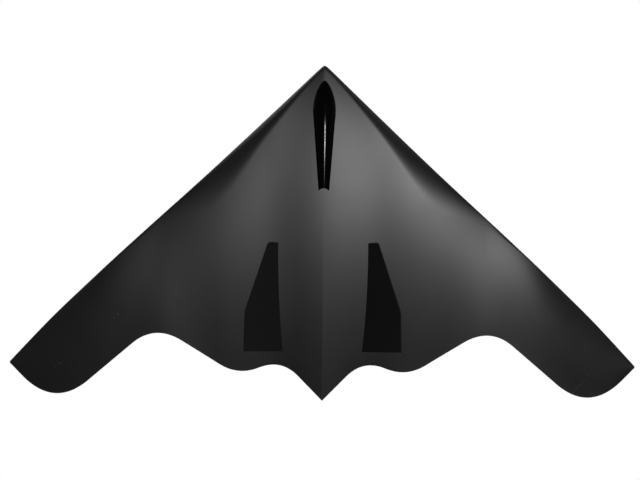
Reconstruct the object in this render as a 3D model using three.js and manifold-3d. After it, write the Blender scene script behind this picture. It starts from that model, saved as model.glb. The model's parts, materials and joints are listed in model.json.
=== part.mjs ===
// A radio-controlled blended flying wing, 1.2 m span, driven by a ducted fan buried in the centre body.
// Units are millimetres. +X is the right wing, +Y the nose, +Z up.
// The model is drawn about the airframe's chord plane and then raised so that the skids stand on z = 0.
import * as THREE from "three";
import { mergeVertices } from "three/addons/utils/BufferGeometryUtils.js";
import Module from "manifold-3d";

const wasm = await Module();
wasm.setup();

// ---------------------------------------------------------------- driving dimensions
const WATERLINE = 38; // chord plane above the ground

// Plan outline of the right half
const NOSE_APEX_Y = 320.7; // where the straight leading edges would meet
const NOSE_ROUND = 3.1; // rounding of that apex
const SWEEP = 0.96; // leading edge, millimetres aft per millimetre outboard
const SWEEP_CHANGES = [
  { x: 280, change: -0.06 },
  { x: 513, change: 0.14 },
];
const SWEEP_EASE = 30; // span over which each change comes in
const TIP_X = 602; // where leading and trailing edge would meet
const HALF_SPAN = 600;
const TRAILING_CORNERS = [
  { x: 0, y: -316, cut: 0 }, // pointed tail
  { x: 79, y: -235.5, cut: 48 }, // bay beside the tail
  { x: 157, y: -270.5, cut: 45 }, // body lobe
  { x: 312, y: -170.5, cut: 58 }, // bay between body and outer wing
  { x: 510, y: -337, cut: 89 }, // outer wing lobe
  { x: TIP_X, y: -251.2, cut: 0 },
];

// Wing sections at equal spanwise steps from the centreline to the tip
const SECTION_STEP = 100;
const SECTIONS = {
  rise: [0, 1.5, 9, 23.5, 13.5, -9, -27], // mid line above the chord plane: a gull wing with drooped tips
  brow: [20, 28, 23, 1, 8, 0, 0], // height of the steep brow behind the leading edge
  browWidth: [10, 36, 77, 20, 4, 34, 40], // chordwise reach of that brow
  crown: [22.3, 9, 4, 6.3, 4.5, 10, 2], // height of the arch over the whole chord
  crownTail: [1.1, 0.9, 1.4, 0.95, 1.4, 1.4, 0.8], // fullness exponent of that arch at the trailing edge
  belly: [30, 25, 20, 15, 13, 9.5, 3], // greatest depth below the mid line
};
const BROW_LIMIT = 0.9; // most of the chord that the brow's front may take up near the tip
const CROWN_NOSE = 0.85; // fullness exponents that hold over the whole span
const BELLY_NOSE = 0.62;
const BELLY_TAIL = 0.85;
const EDGE = 0.9; // half thickness of the outline's edge
const SKIN = 3; // moulded wall of the centre body
const FIT = 0.3; // gap between pieces that are pressed or glued together
const RUNNING_FIT = 0.08; // gap round a pin or shaft that turns in its hole

const JOINT_X = 190; // where the outer wing panels plug on
const CAVITY_X = 170;
const CAVITY_START = 0.07; // hollow part of each chord, as shares of the chord
const CAVITY_END = 0.86;

// Elevon hinge, drawn parallel to the trailing edge between the last bay and the outer lobe
const ELEVON_CHORD = 46;
const ELEVON_START = 35; // along the trailing edge from the bay's corner
const ELEVON_END = 207;
const HINGE_LIFT = 2; // hinge axis above the section mid line
const ELEVON_NOSE_R = 14; // reaches the lower skin at the thick inner end
const ELEVON_GAP = 0.5;
const HINGE_ROD_R = 1;

// Elevon linkage, in the hinge's frame: x outboard along the hinge, y forward, z up
const STATION = 42; // along the hinge from the elevon's inner end
const HORN_REACH = 17; // hinge axis to clevis hole, and the same on the servo arm
const SERVO_FORWARD = 38;
const SERVO_DROP = -8;
const PLATE = 1.6; // thickness of the servo arm and the control horn
const LINK_R = 0.8;

// Ducted fan, on an axis along Y
const FAN_Z = 3;
const FAN_R = 26; // inside the shroud
const BLADE_R = 25.2;
const FAN_FRONT_Y = -20;
const FAN_LENGTH = 46;
const DUCT_WALL = 1.3;

// Belly openings and hatches
const INLET = { x: 27, front: 66, back: 14 };
const HATCH = { x: 29, front: 204, back: 88 };
const CANOPY = { front: 285, widest: 227, back: 80, halfWidth: 21.2, backHalfWidth: 10, height: 13 };

const COLOURS = {
  skin: 0x2b2c2e,
  finBlack: 0x0b0b0c,
  canopyBlack: 0x050505,
  carbon: 0x18191b,
  ply: 0xb98f5c,
  nylon: 0x222324,
  steel: 0x9a9da1,
  aluminium: 0xb8bcc0,
  shroud: 0x1c1d20,
  rotor: 0x2f3236,
  cell: 0x27456b,
  strap: 0x1a1a1a,
  red: 0xa31515,
  black: 0x101010,
  servo: 0x1d2f57,
};

// ---------------------------------------------------------------- solids
// A closed geometry as a solid for cutting and joining, turned to face outwards if it is inside out.
function solid(geometry) {
  const bare = geometry.clone();
  bare.deleteAttribute("normal");
  bare.deleteAttribute("uv");
  const merged = mergeVertices(bare, 1e-4);
  const position = merged.attributes.position;
  const corners = new Uint32Array(merged.index.array);
  const corner = (i) => new THREE.Vector3().fromBufferAttribute(position, corners[i]);
  let volume = 0;
  for (let i = 0; i < corners.length; i += 3) volume += corner(i).dot(corner(i + 1).cross(corner(i + 2)));
  if (volume < 0) corners.reverse();
  return new wasm.Manifold(
    new wasm.Mesh({ numProp: 3, vertProperties: new Float32Array(position.array), triVerts: corners }),
  );
}

function geometryOf(body) {
  const mesh = body.getMesh();
  const geometry = new THREE.BufferGeometry();
  const positions = new Float32Array(mesh.numVert * 3);
  for (let i = 0; i < mesh.numVert; i++) {
    positions.set(mesh.vertProperties.subarray(i * mesh.numProp, i * mesh.numProp + 3), i * 3);
  }
  geometry.setAttribute("position", new THREE.BufferAttribute(positions, 3));
  geometry.setIndex(new THREE.BufferAttribute(new Uint32Array(mesh.triVerts), 1));
  geometry.computeVertexNormals();
  return geometry;
}

const cut = (body, ...tools) => tools.reduce((left, tool) => left.subtract(tool), body);
const join = (body, ...others) => others.reduce((left, other) => left.add(other), body);
const common = (a, b) => a.intersect(b);

const point = (x, y, z) => new THREE.Vector3(x, y, z);
const X_AXIS = point(1, 0, 0);
const Y_AXIS = point(0, 1, 0);
const Z_AXIS = point(0, 0, 1);

// The largest of a solid's separate bodies, which drops slivers that a cut leaves behind.
function mainBody(body) {
  return body.decompose().reduce((a, b) => (b.volume() > a.volume() ? b : a));
}

// Closed geometry from triangles given by index into a list of Vector3.
function closedGeometry(points, triangles) {
  const geometry = new THREE.BufferGeometry().setFromPoints(points);
  geometry.setIndex(triangles);
  return geometry;
}

// A solid between two sheets of points, rows outboard and columns aft. The sheets may differ in columns.
function sheetGeometry(upper, lower) {
  const [rows, columns, lowerColumns] = [upper.length, upper[0].length, lower[0].length];
  const [tail, lowerTail] = [columns - 1, lowerColumns - 1];
  const points = [...upper.flat(), ...lower.flat()];
  const top = (i, j) => i * columns + j;
  const base = (i, j) => rows * columns + i * lowerColumns + j;
  const triangles = [];
  const quad = (a, b, c, d) => triangles.push(a, b, c, a, c, d);
  for (let i = 0; i + 1 < rows; i++) {
    for (let j = 0; j + 1 < columns; j++) quad(top(i, j), top(i, j + 1), top(i + 1, j + 1), top(i + 1, j));
    for (let j = 0; j + 1 < lowerColumns; j++) {
      quad(base(i, j), base(i + 1, j), base(i + 1, j + 1), base(i, j + 1));
    }
    quad(top(i, 0), top(i + 1, 0), base(i + 1, 0), base(i, 0));
    quad(top(i, tail), base(i, lowerTail), base(i + 1, lowerTail), top(i + 1, tail));
  }
  const close = (row, triangle) => {
    let [j, k] = [0, 0];
    while (j + 1 < columns || k + 1 < lowerColumns) {
      const topIsBehind = k === lowerTail || (j + 1) * lowerTail <= (k + 1) * tail;
      if (j + 1 < columns && topIsBehind) {
        triangle(top(row, j), base(row, k), top(row, j + 1));
        j += 1;
      } else {
        triangle(top(row, j), base(row, k), base(row, k + 1));
        k += 1;
      }
    }
  };
  close(0, (a, b, c) => triangles.push(a, b, c));
  close(rows - 1, (a, b, c) => triangles.push(a, c, b));
  return closedGeometry(points, triangles);
}

// A solid lofted through rings of equal point counts, closed at both ends.
function loftGeometry(rings) {
  const count = rings[0].length;
  const points = rings.flat();
  const triangles = [];
  for (let r = 0; r + 1 < rings.length; r++) {
    for (let k = 0; k < count; k++) {
      const next = (k + 1) % count;
      const [a, b] = [r * count + k, r * count + next];
      const [c, d] = [a + count, b + count];
      triangles.push(a, b, d, a, d, c);
    }
  }
  const centre = (ring) => ring.reduce((sum, p) => sum.add(p), new THREE.Vector3()).divideScalar(count);
  const last = (rings.length - 1) * count;
  points.push(centre(rings[0]), centre(rings[rings.length - 1]));
  const [first, end] = [points.length - 2, points.length - 1];
  for (let k = 0; k < count; k++) {
    const next = (k + 1) % count;
    triangles.push(first, next, k, end, last + k, last + next);
  }
  return closedGeometry(points, triangles);
}

// A solid of revolution about the Y axis from (radius, y) pairs that start and end on the axis or close.
function turned(profile, segments = 20) {
  return new THREE.LatheGeometry(
    profile.map(([r, y]) => new THREE.Vector2(r, y)),
    segments,
  );
}

function ringProfile(inner, outer, low, high) {
  return [
    [inner, low],
    [outer, low],
    [outer, high],
    [inner, high],
    [inner, low],
  ];
}

function box(x0, x1, y0, y1, z0, z1) {
  const geometry = new THREE.BoxGeometry(x1 - x0, y1 - y0, z1 - z0);
  geometry.translate((x0 + x1) / 2, (y0 + y1) / 2, (z0 + z1) / 2);
  return geometry;
}

// A solid box from named limits: x0, x1, y0, y1, low and high.
const block = ({ x0, x1, y0, y1, low, high }) => solid(box(x0, x1, y0, y1, low, high));

// A cylinder along the X axis between x0 and x1.
function rodX(radius, x0, x1, segments = 16) {
  const geometry = new THREE.CylinderGeometry(radius, radius, x1 - x0, segments);
  geometry.rotateZ(Math.PI / 2);
  geometry.translate((x0 + x1) / 2, 0, 0);
  return geometry;
}

// A cylinder between two points.
function rodBetween(a, b, radius, segments = 16) {
  const axis = new THREE.Vector3().subVectors(b, a);
  const geometry = new THREE.CylinderGeometry(radius, radius, axis.length(), segments);
  const turn = new THREE.Quaternion().setFromUnitVectors(Y_AXIS, axis.clone().normalize());
  geometry.applyQuaternion(turn);
  const middle = new THREE.Vector3().addVectors(a, b).multiplyScalar(0.5);
  geometry.translate(middle.x, middle.y, middle.z);
  return geometry;
}

// A flat plate from an outline in the YZ plane, standing across X.
function plateAcrossX(outline, x0, x1) {
  const options = { depth: x1 - x0, bevelEnabled: false, curveSegments: 6 };
  const geometry = new THREE.ExtrudeGeometry(outline, options);
  geometry.applyMatrix4(new THREE.Matrix4().makeBasis(Y_AXIS, Z_AXIS, X_AXIS));
  geometry.translate(x0, 0, 0);
  return geometry;
}

function shapeFrom(corners) {
  return new THREE.Shape(corners.map(([x, y]) => new THREE.Vector2(x, y)));
}

const placed = (geometry, matrix) => geometry.clone().applyMatrix4(matrix);
const steps = (from, to, count) =>
  Array.from({ length: count + 1 }, (_, i) => from + ((to - from) * i) / count);
const cosineShares = (count) => steps(0, Math.PI, count).map((a) => (1 - Math.cos(a)) / 2);

// ---------------------------------------------------------------- the wing's surface
function leadingEdge(x) {
  const straight = NOSE_APEX_Y - SWEEP * Math.hypot(x, NOSE_ROUND);
  const bend = (past, change) => (change * (past + Math.hypot(past, SWEEP_EASE))) / 2;
  return SWEEP_CHANGES.reduce((y, { x: at, change }) => y - bend(Math.abs(x) - at, change), straight);
}

// The wavy trailing edge: straight runs with each corner rounded by a quadratic curve.
function trailingOutline() {
  const corners = TRAILING_CORNERS.map((c) => new THREE.Vector2(c.x, c.y));
  const path = new THREE.Path().moveTo(corners[0].x, corners[0].y);
  for (let i = 1; i + 1 < corners.length; i++) {
    const corner = corners[i];
    const towards = (other) => other.clone().sub(corner).setLength(TRAILING_CORNERS[i].cut).add(corner);
    const start = towards(corners[i - 1]);
    const end = towards(corners[i + 1]);
    path.lineTo(start.x, start.y);
    path.quadraticCurveTo(corner.x, corner.y, end.x, end.y);
  }
  const tip = corners[corners.length - 1];
  path.lineTo(tip.x, tip.y);
  return path.getPoints(10);
}
const trailingPoints = trailingOutline();

function trailingEdge(x) {
  const a = Math.abs(x);
  const i = Math.max(1, trailingPoints.findIndex((p) => p.x >= a));
  const [p, q] = [trailingPoints[i - 1], trailingPoints[i]];
  return p.y + ((q.y - p.y) * (a - p.x)) / (q.x - p.x);
}

// Smooth value of a section property at a spanwise place, level at the centreline.
function sectionValue(values, x) {
  const last = values.length - 1;
  const place = Math.min(Math.abs(x) / SECTION_STEP, last);
  const i = Math.min(Math.floor(place), last - 1);
  const t = place - i;
  const slope = (k) => {
    if (k === 0) return 0;
    return k === last ? values[last] - values[last - 1] : (values[k + 1] - values[k - 1]) / 2;
  };
  const [t2, t3] = [t * t, t * t * t];
  const ends = (2 * t3 - 3 * t2 + 1) * values[i] + (3 * t2 - 2 * t3) * values[i + 1];
  return ends + (t3 - 2 * t2 + t) * slope(i) + (t3 - t2) * slope(i + 1);
}

const chord = (x) => leadingEdge(x) - trailingEdge(x);
const chordShare = (x, y) => THREE.MathUtils.clamp((leadingEdge(x) - y) / chord(x), 0, 1);

// An arch over the chord, 1 at its highest. Smaller exponents make a blunter nose or tail.
function arch(share, nose, tail) {
  const peak = nose / (nose + tail);
  return (share ** nose * (1 - share) ** tail) / (peak ** nose * (1 - peak) ** tail);
}

// The steep brow behind the leading edge: a quarter ellipse up to the shoulder, then a long parabola aft.
function brow(x, share) {
  const shoulder = Math.min(sectionValue(SECTIONS.browWidth, x) / chord(x), BROW_LIMIT);
  const climb = Math.min(share / shoulder, 1);
  const fall = Math.max((share - shoulder) / (1 - shoulder), 0);
  return Math.sqrt(1 - (1 - climb) ** 2) * (1 - fall ** 2);
}

const midHeight = (x) => sectionValue(SECTIONS.rise, x);

function upperHeight(x, y) {
  const share = chordShare(x, y);
  const crown = arch(share, CROWN_NOSE, sectionValue(SECTIONS.crownTail, x));
  const raised = sectionValue(SECTIONS.brow, x) * brow(x, share) + sectionValue(SECTIONS.crown, x) * crown;
  return midHeight(x) + EDGE + raised;
}

function lowerHeight(x, y) {
  const bulge = arch(chordShare(x, y), BELLY_NOSE, BELLY_TAIL);
  return midHeight(x) - EDGE - sectionValue(SECTIONS.belly, x) * bulge;
}

// A sheet of points over part of the plan, at the height a function gives.
function sheet(xs, shares, height) {
  return xs.map((x) =>
    shares.map((s) => {
      const y = leadingEdge(x) + (trailingEdge(x) - leadingEdge(x)) * s;
      return new THREE.Vector3(x, y, height(x, y));
    }),
  );
}

const chordShares = cosineShares(10);
const bodyXs = steps(-JOINT_X, JOINT_X, 24);
const panelXs = steps(JOINT_X + FIT, HALF_SPAN, 19);
const cavityXs = steps(-CAVITY_X, CAVITY_X, 14);
const cavityShares = steps(CAVITY_START, CAVITY_END, 7);

const SPLIT = 0.15; // half of the gap between the two centre shells
const upperHalf = solid(
  sheetGeometry(sheet(bodyXs, chordShares, upperHeight), sheet(bodyXs, [0, 1], (x) => midHeight(x) + SPLIT)),
);
const lowerHalf = solid(
  sheetGeometry(
    sheet(bodyXs, [0, 1], (x) => midHeight(x) - SPLIT),
    sheet(bodyXs, chordShares, lowerHeight),
  ),
);
const OVERRUN = 4; // how far a cutting solid runs past the face it opens
const upperCavity = solid(
  sheetGeometry(
    sheet(cavityXs, cavityShares, (x, y) => upperHeight(x, y) - SKIN),
    sheet(cavityXs, cavityShares, (x) => midHeight(x) - OVERRUN),
  ),
);
const lowerCavity = solid(
  sheetGeometry(
    sheet(cavityXs, cavityShares, (x) => midHeight(x) + OVERRUN),
    sheet(cavityXs, cavityShares, (x, y) => lowerHeight(x, y) + SKIN),
  ),
);
// The whole hollow less a fitting gap, which formers and decks are trimmed to.
const fittedHollow = solid(
  sheetGeometry(
    sheet(cavityXs, cavityShares, (x, y) => upperHeight(x, y) - SKIN - FIT),
    sheet(cavityXs, cavityShares, (x, y) => lowerHeight(x, y) + SKIN + FIT),
  ),
);
const bodyEnvelope = solid(
  sheetGeometry(sheet(bodyXs, chordShares, upperHeight), sheet(bodyXs, chordShares, lowerHeight)),
);
// The same envelope grown by the fitting gap, which outside pieces are trimmed to.
const grownEnvelope = solid(
  sheetGeometry(
    sheet(bodyXs, chordShares, (x, y) => upperHeight(x, y) + FIT),
    sheet(bodyXs, chordShares, (x, y) => lowerHeight(x, y) - FIT),
  ),
);

// ---------------------------------------------------------------- pieces and names
const wing = new THREE.Group();
wing.name = "rc_flying_wing";

const finish = (colour, roughness, metalness = 0) => ({ color: colour, roughness, metalness });
const FOAM = finish(COLOURS.skin, 0.5);
const PLY = finish(COLOURS.ply, 0.7);
const NYLON = finish(COLOURS.nylon, 0.5);
const STEEL = finish(COLOURS.steel, 0.35, 1);
const CARBON = finish(COLOURS.carbon, 0.4);
const BLACK = finish(COLOURS.black, 0.5);

function addPiece(name, body, look) {
  const geometry = geometryOf(body);
  geometry.translate(0, 0, WATERLINE);
  const mesh = new THREE.Mesh(geometry, new THREE.MeshStandardMaterial(look));
  mesh.name = name;
  wing.add(mesh);
}

// A piece of the right side and its mirror image.
function addPair(name, body, look) {
  addPiece(`right_${name}`, body, look);
  addPiece(`left_${name}`, body.mirror([1, 0, 0]), look);
}

const withMirror = (body) => body.add(body.mirror([1, 0, 0]));

// ---------------------------------------------------------------- ducts
const RING_POINTS = 20;

// A closed superellipse in the plane of two axes: exponent 2 is an ellipse, more is squarer.
function superRing(centre, across, along, halfAcross, halfAlong, exponent) {
  const power = (value) => Math.sign(value) * Math.abs(value) ** (2 / exponent);
  return steps(0, 2 * Math.PI, RING_POINTS)
    .slice(0, RING_POINTS)
    .map((a) =>
      centre
        .clone()
        .addScaledVector(across, halfAcross * power(Math.cos(a)))
        .addScaledVector(along, halfAlong * power(Math.sin(a))),
    );
}

const lerp = THREE.MathUtils.lerp;

// The intake bends a quarter turn about a line below its rear lip, from the belly up to the fan.
function inletLoft(grow, faceGap) {
  const pivot = new THREE.Vector3(0, FAN_FRONT_Y + faceGap, lowerHeight(0, INLET.back) - OVERRUN);
  const lipRadius = (INLET.front + INLET.back) / 2 - pivot.y;
  const fanRadius = FAN_Z - pivot.z;
  const rings = steps(0, 1, 6).map((t) => {
    const angle = (t * Math.PI) / 2;
    const outward = new THREE.Vector3(0, Math.cos(angle), Math.sin(angle));
    const centre = pivot.clone().addScaledVector(outward, lerp(lipRadius, fanRadius, t));
    return superRing(centre, X_AXIS, outward, lerp(INLET.x, FAN_R, t) + grow, FAN_R + grow, lerp(4, 2, t));
  });
  return solid(loftGeometry(rings));
}

// The jet pipe runs aft from the fan, flattening as it drops out through the belly.
const PIPE_FRONT_Y = FAN_FRONT_Y - FAN_LENGTH - FIT;
const PIPE = { bendY: -205, endY: -300, bendZ: -10, endZ: -29, halfWidth: 33, halfHeight: 9.5 };
function pipeLoft(grow) {
  const ring = (y, z, halfWidth, halfHeight, exponent) =>
    superRing(new THREE.Vector3(0, y, z), X_AXIS, Z_AXIS, halfWidth + grow, halfHeight + grow, exponent);
  const rings = steps(0, 1, 6).map((t) => {
    const ease = t * t * (3 - 2 * t);
    const y = lerp(PIPE_FRONT_Y, PIPE.bendY, t);
    const z = lerp(FAN_Z, PIPE.bendZ, t ** 1.5);
    return ring(y, z, lerp(FAN_R, PIPE.halfWidth, ease), lerp(FAN_R, PIPE.halfHeight, ease), lerp(2, 3, t));
  });
  rings.push(ring(PIPE.endY, PIPE.endZ, PIPE.halfWidth, PIPE.halfHeight, 3));
  return solid(loftGeometry(rings));
}

const WALL_AND_FIT = DUCT_WALL + FIT;
const inletDuct = common(cut(inletLoft(DUCT_WALL, FIT), inletLoft(0, 0)), bodyEnvelope);
const jetPipe = mainBody(common(cut(pipeLoft(DUCT_WALL), pipeLoft(0)), bodyEnvelope));
addPiece("inlet_duct", mainBody(inletDuct), BLACK);
addPiece("exhaust_pipe", jetPipe, BLACK);

// ---------------------------------------------------------------- ducted fan
const MOTOR_R = 13;
const VANES = 5;
const BLADES = 11;
const HUB_R = 11;
const ROTOR_Y = FAN_FRONT_Y - 20; // front face of the rotor hub
const ROTOR_DEPTH = 14;
const SHAFT_R = 1.5;

const onFanAxis = (geometry) => geometry.clone().translate(0, 0, FAN_Z);
const aroundFanAxis = (geometry, count) =>
  steps(0, 2 * Math.PI, count)
    .slice(0, count)
    .map((a) => solid(onFanAxis(geometry.clone().rotateY(a))));

function fanShroud() {
  const back = FAN_FRONT_Y - FAN_LENGTH;
  const ring = solid(onFanAxis(turned(ringProfile(FAN_R, FAN_R + DUCT_WALL, back, FAN_FRONT_Y), 32)));
  const mountFront = ROTOR_Y - ROTOR_DEPTH - 1;
  const mount = solid(
    onFanAxis(
      turned([
        [SHAFT_R + 0.3, mountFront],
        [MOTOR_R + 1.4, mountFront],
        [MOTOR_R + 1.4, back],
        [MOTOR_R + 0.1, back],
        [MOTOR_R + 0.1, mountFront - 1.6],
        [SHAFT_R + 0.3, mountFront - 1.6],
        [SHAFT_R + 0.3, mountFront],
      ]),
    ),
  );
  const vane = box(MOTOR_R + 0.8, FAN_R + DUCT_WALL / 2, back + 1, mountFront - 2, -0.6, 0.6);
  return join(ring, mount, ...aroundFanAxis(vane, VANES));
}

function fanBlade() {
  const rings = steps(0, 1, 3).map((t) => {
    const radius = lerp(HUB_R - 1, BLADE_R, t);
    const pitch = lerp(1.0, 0.55, t); // radians from the plane of rotation
    const chord = new THREE.Vector3(0, Math.sin(pitch), Math.cos(pitch));
    const normal = new THREE.Vector3(0, Math.cos(pitch), -Math.sin(pitch));
    const centre = new THREE.Vector3(radius, ROTOR_Y - ROTOR_DEPTH / 2, 0);
    const corner = (c, n) => centre.clone().addScaledVector(chord, c * 6).addScaledVector(normal, n * 0.55);
    return [corner(-1, -1), corner(1, -1), corner(1, 1), corner(-1, 1)];
  });
  return loftGeometry(rings);
}

function fanRotor() {
  const back = ROTOR_Y - ROTOR_DEPTH;
  const hub = solid(
    onFanAxis(
      turned([
        [0, ROTOR_Y],
        [HUB_R, ROTOR_Y],
        [HUB_R, back],
        [SHAFT_R, back],
        [SHAFT_R, back - 6],
        [0, back - 6],
      ]),
    ),
  );
  return join(hub, ...aroundFanAxis(fanBlade(), BLADES));
}

function spinner() {
  const dome = steps(0, Math.PI / 2, 5).map((a) => [HUB_R * Math.cos(a), ROTOR_Y + 0.1 + 15 * Math.sin(a)]);
  dome[dome.length - 1][0] = 0;
  return solid(onFanAxis(turned([[0, ROTOR_Y + 0.1], ...dome])));
}

function motor() {
  const front = ROTOR_Y - ROTOR_DEPTH - 2.7;
  const back = front - 30;
  const can = turned([
    [SHAFT_R + RUNNING_FIT, front],
    [MOTOR_R, front],
    [MOTOR_R, back],
    [5, back - 7],
    [0, back - 7],
    [0, front - 8],
    [SHAFT_R + RUNNING_FIT, front - 8],
    [SHAFT_R + RUNNING_FIT, front],
  ]);
  return solid(onFanAxis(can));
}

addPiece("fan_shroud", fanShroud(), finish(COLOURS.shroud, 0.45));
addPiece("fan_rotor", fanRotor(), finish(COLOURS.rotor, 0.4));
addPiece("fan_spinner", spinner(), finish(COLOURS.aluminium, 0.3, 1));
addPiece("fan_motor", motor(), finish(COLOURS.aluminium, 0.35, 1));

// ---------------------------------------------------------------- canopy
const CANOPY_SEAT = 1.5; // depth of the canopy's seat in the skin
const CANOPY_LIP = 4; // width of that seat
const NOTCH_R = 12; // thumb notch in the canopy's rear end
const NOTCH_DEPTH = 4;

// Half width of the teardrop canopy: a full nose and a nearly straight taper aft.
function canopyHalfWidth(y) {
  if (y < CANOPY.widest) {
    return lerp(CANOPY.halfWidth, CANOPY.backHalfWidth, (CANOPY.widest - y) / (CANOPY.widest - CANOPY.back));
  }
  const share = Math.min((y - CANOPY.widest) / (CANOPY.front + 1 - CANOPY.widest), 1);
  return CANOPY.halfWidth * (1 - share ** 2) ** 0.7;
}

// Height of the canopy's ridge above the skin: low at the nose, fullest over the front third.
function ridgeHeight(y) {
  const share = (CANOPY.front - y) / (CANOPY.front - CANOPY.back);
  return CANOPY.height * Math.sin(Math.PI * Math.min(share * 1.35, 0.5 + share * 0.3)) ** 0.8;
}

const ridge = (y, share) => ridgeHeight(y) * (1 - share ** 2);

const canopyYs = steps(CANOPY.back, CANOPY.front, 13);
const canopyShares = steps(-1, 1, 6);
function canopySheet(grow, endGrow, height) {
  return canopyYs.map((station, i) => {
    const end = i === 0 ? -endGrow : i === canopyYs.length - 1 ? endGrow : 0;
    return canopyShares.map((share) => {
      const x = share * Math.max(canopyHalfWidth(station) + grow, 0.6);
      return new THREE.Vector3(x, station + end, height(x, station, share));
    });
  });
}
const canopyPrism = (grow, endGrow, floor) =>
  solid(sheetGeometry(canopySheet(grow, endGrow, () => 80), canopySheet(grow, endGrow, floor)));
const canopySeat = canopyPrism(FIT, FIT, (x, y) => upperHeight(x, y) - CANOPY_SEAT - FIT / 2);
const canopyOpening = canopyPrism(-CANOPY_LIP, -10, (x, y) => upperHeight(x, y) - 12);

function canopyHatch() {
  const crown = canopySheet(0, 0, (x, y, share) => upperHeight(x, y) + 0.3 + ridge(y, share));
  const floor = canopySheet(0, 0, (x, y) => upperHeight(x, y) - CANOPY_SEAT);
  const whole = solid(sheetGeometry(crown, floor));
  const inside = canopySheet(
    -2.2,
    -8,
    (x, y, share) => upperHeight(x, y) + Math.max(ridge(y, share) - 2.2, 0.6 - CANOPY_SEAT),
  );
  const below = canopySheet(-2.2, -8, (x, y) => upperHeight(x, y) - CANOPY_SEAT - 3);
  const notchCentre = (z) => point(0, CANOPY.back + NOTCH_DEPTH - NOTCH_R, z);
  const thumbNotch = solid(rodBetween(notchCentre(20), notchCentre(80), NOTCH_R, 32));
  return cut(whole, solid(sheetGeometry(inside, below)), thumbNotch);
}

const canopyBody = canopyHatch();
addPiece("canopy_hatch", canopyBody, finish(COLOURS.canopyBlack, 0.15));

// ---------------------------------------------------------------- belly hatch
const HATCH_NOSE_R = 2.2; // rounded front edge, turning about the hinge pin
const HATCH_PIN_R = 0.8;
const hatchHinge = point(0, HATCH.front, lowerHeight(0, HATCH.front) + HATCH_NOSE_R);
const alongX = (radius, x0, x1, at) => solid(rodX(radius, x0, x1).translate(0, at.y, at.z));

const lowerSkin = cut(lowerHalf, lowerCavity);
const hatchPlate = common(lowerSkin, solid(box(-HATCH.x, HATCH.x, HATCH.back, HATCH.front, -60, 0)));
const bellyHatch = cut(
  join(hatchPlate, alongX(HATCH_NOSE_R, -HATCH.x, HATCH.x, hatchHinge)),
  alongX(HATCH_PIN_R + RUNNING_FIT, -HATCH.x - 1, HATCH.x + 1, hatchHinge),
);
const hatchOpening = join(
  solid(box(-HATCH.x - FIT, HATCH.x + FIT, HATCH.back - FIT, HATCH.front, -60, 0)),
  alongX(HATCH_NOSE_R + 0.5, -HATCH.x - FIT, HATCH.x + FIT, hatchHinge),
);
addPiece("belly_hatch", bellyHatch, FOAM);
addPiece("belly_hatch_pin", alongX(HATCH_PIN_R, -HATCH.x - 6, HATCH.x + 6, hatchHinge), STEEL);
const hatchPinBore = alongX(HATCH_PIN_R + FIT, -HATCH.x - 6.5, HATCH.x + 6.5, hatchHinge);

// ---------------------------------------------------------------- fins
const FIN = { rootFront: [85, -16], rootBack: [76, -223], cant: 0.72, height: 98, thick: 2.4, sink: 2 };

// Flat canted plate: x runs aft along the root, y up the fin, z through its thickness.
function finPlate(thick, sinkBy) {
  const onSkin = ([x, y]) => point(x, y, upperHeight(x, y));
  const [front, back] = [onSkin(FIN.rootFront), onSkin(FIN.rootBack)];
  const aft = back.clone().sub(front);
  const root = aft.length();
  aft.normalize();
  const up = point(Math.sin(FIN.cant), 0, Math.cos(FIN.cant));
  up.addScaledVector(aft, -up.dot(aft)).normalize();
  const through = new THREE.Vector3().crossVectors(aft, up);
  const outline = shapeFrom([
    [3, -sinkBy],
    [-3, 21],
    [-1, 25],
    [108, FIN.height - 11],
    [116, FIN.height - 7],
    [root - 22, FIN.height],
    [root - 1, 0],
    [root, -sinkBy],
  ]);
  const plate = new THREE.ExtrudeGeometry(outline, { depth: thick, bevelEnabled: false });
  plate.translate(0, 0, -thick / 2);
  return solid(plate.applyMatrix4(new THREE.Matrix4().makeBasis(aft, up, through).setPosition(front)));
}
const sunkEnvelope = (depth) =>
  solid(
    sheetGeometry(
      sheet(bodyXs, chordShares, (x, y) => upperHeight(x, y) - depth),
      sheet(bodyXs, chordShares, (x) => midHeight(x) - 60),
    ),
  );
const fin = mainBody(cut(finPlate(FIN.thick, 14), sunkEnvelope(FIN.sink)));
const finGroove = cut(finPlate(FIN.thick + 2 * FIT, 14), sunkEnvelope(FIN.sink + FIT));
addPair("fin", fin, finish(COLOURS.finBlack, 0.55));

// ---------------------------------------------------------------- spars and equipment bay
const SPAR_R = 4;
const SPAR_BORE = 3;
const SPAR = { x0: 92, x1: 340, z0: 9.5, z1: 20.5, rootY: 245, sweep: 0.936 };
function sparEnd(x) {
  const z = lerp(SPAR.z0, SPAR.z1, (x - SPAR.x0) / (SPAR.x1 - SPAR.x0));
  return point(x, SPAR.rootY - SPAR.sweep * x, z);
}
const sparRod = (radius, x0, x1) => solid(rodBetween(sparEnd(x0), sparEnd(x1), radius));
const spar = cut(sparRod(SPAR_R, SPAR.x0, SPAR.x1), sparRod(SPAR_BORE, SPAR.x0 - 1, SPAR.x1 + 1));
const sparClear = sparRod(SPAR_R + FIT, SPAR.x0 - 1, SPAR.x1 + 1);
addPair("wing_spar", spar, CARBON);

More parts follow.
